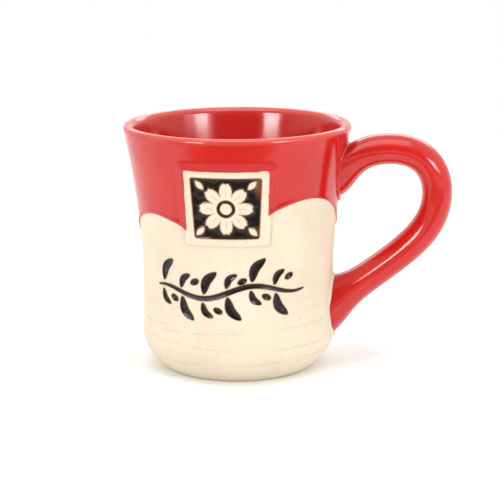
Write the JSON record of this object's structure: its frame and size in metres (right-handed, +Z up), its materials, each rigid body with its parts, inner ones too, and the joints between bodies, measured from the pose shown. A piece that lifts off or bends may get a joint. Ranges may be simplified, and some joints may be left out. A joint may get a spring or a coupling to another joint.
{
  "type": "stoneware mug",
  "caption": "Flared stoneware mug in bare clay, dipped in red glaze, with a loop handle, a relief medallion of a rosette and an incised vine filled with dark glaze.",
  "frame": {"origin": "on the vessel's axis, at the middle of the shallow recess inside the foot ring, which is 0.8 mm above the surface it stands on", "axes": "+Z up along the vessel's axis, +X towards the handle, -Y towards the medallion at the front"},
  "size_m": [0.1334, 0.0926, 0.1],
  "materials": {
    "bare_clay": "matt unglazed cream stoneware with fine specks",
    "red_glaze": "smooth glossy opaque red glaze",
    "dark_glaze": "glossy black-brown glaze pooled in the relief, breaking to brown where thin"
  },
  "bodies": {
    "root": {"vessel_body": "bare_clay", "handle": "bare_clay", "upper_slip_joint": "bare_clay", "lower_slip_joint": "bare_clay", "medallion_tile": "bare_clay", "medallion_glaze": "dark_glaze", "medallion_heart_glaze": "dark_glaze", "outer_glaze": "red_glaze", "liner_glaze": "red_glaze", "handle_glaze": "red_glaze", "vine_stem": "dark_glaze", "vine_leaf_1": "dark_glaze", "vine_leaflet_1": "dark_glaze", "vine_berry_1": "dark_glaze", "vine_leaf_2": "dark_glaze", "vine_leaflet_2": "dark_glaze", "vine_berry_2": "dark_glaze", "vine_leaf_3": "dark_glaze", "vine_leaflet_3": "dark_glaze", "vine_berry_3": "dark_glaze", "vine_leaf_4": "dark_glaze", "vine_leaflet_4": "dark_glaze", "vine_berry_4": "dark_glaze", "vine_leaf_5": "dark_glaze", "vine_leaflet_5": "dark_glaze", "vine_berry_5": "dark_glaze", "vine_leaf_6": "dark_glaze", "vine_leaflet_6": "dark_glaze", "vine_berry_6": "dark_glaze"}
  },
  "joints": []
}
